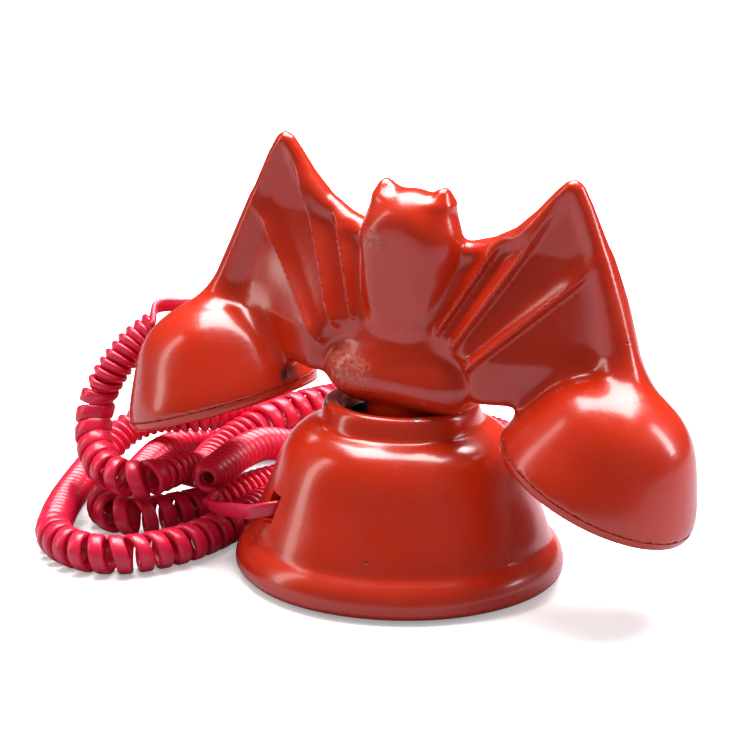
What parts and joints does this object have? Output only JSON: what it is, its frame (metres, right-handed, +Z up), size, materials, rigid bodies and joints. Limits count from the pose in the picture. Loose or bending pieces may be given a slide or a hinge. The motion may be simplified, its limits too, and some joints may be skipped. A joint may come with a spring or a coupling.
{
  "type": "table telephone",
  "caption": "Table telephone with no dial: a winged red handset lying across a bell-shaped base, joined to it by a curly flat-wire cord.",
  "frame": {"origin": "centre of the base's underside, on the table", "axes": "+X along the handset from mouthpiece to earpiece, +Y to the back, where the line socket is, +Z up"},
  "size_m": [0.2247, 0.1873, 0.1303],
  "materials": {
    "paint": "gloss orange-red enamel, brushed on by hand",
    "steel": "zinc plated",
    "capsule_metal": "satin",
    "rubber": "matt",
    "black_plastic": "moulded",
    "brass": "satin",
    "winding": "enamelled copper wire on a bobbin, taped",
    "board": "brown laminate",
    "lead": "twin lead, matt sleeve",
    "cord": "crimson PVC, semi-gloss"
  },
  "bodies": {
    "base": {"base_shell": "paint", "base_plate": "steel", "base_pad": "rubber", "plate_screw_1": "steel", "plate_screw_2": "steel", "plate_screw_3": "steel", "well_cup": "black_plastic", "hook_spring": "steel", "switch_bracket": "steel", "switch_block": "black_plastic", "switch_leaf_upper": "brass", "switch_leaf_lower": "brass", "ringer_gong": "brass", "gong_post": "steel", "gong_screw": "steel", "ringer_coil": "winding", "ringer_yoke": "steel", "clapper_pin": "steel", "board_pillar_left": "steel", "board_pillar_right": "steel", "circuit_board": "board", "line_capacitor": "black_plastic", "terminal_block": "black_plastic", "line_jack": "black_plastic", "cord_clamp": "black_plastic", "cord_tail_base": "cord", "cord_coil": "cord"},
    "plunger": {"hook_plunger": "black_plastic"},
    "clapper": {"clapper_arm": "steel"},
    "handset": {"handset_body": "paint", "transmitter_cap": "paint", "transmitter_capsule": "capsule_metal", "transmitter_screw_inner": "steel", "transmitter_screw_outer": "steel", "receiver_cap": "paint", "receiver_capsule": "capsule_metal", "receiver_screw_inner": "steel", "receiver_screw_outer": "steel", "capsule_lead": "lead", "cord_grommet": "rubber", "cord_coil_end": "cord", "cord_tail_handset": "cord"}
  },
  "joints": [
    {"name": "handset_lift", "type": "slide", "parent": "base", "child": "handset", "axis": [0, 0, 1], "range_m": [0, 0.08]},
    {"name": "hook_travel", "type": "slide", "parent": "base", "child": "plunger", "axis": [0, 0, -1], "range_m": [0, 0.004], "stiffness_N_per_m": 60, "deforming": ["hook_spring"]},
    {"name": "clapper_swing", "type": "hinge", "parent": "base", "child": "clapper", "pos_m": [0.0085, 0.0235, 0.0105], "axis": [0, 0, 1], "range_deg": [-2, 4], "stiffness_Nm_per_rad": 0.002}
  ]
}
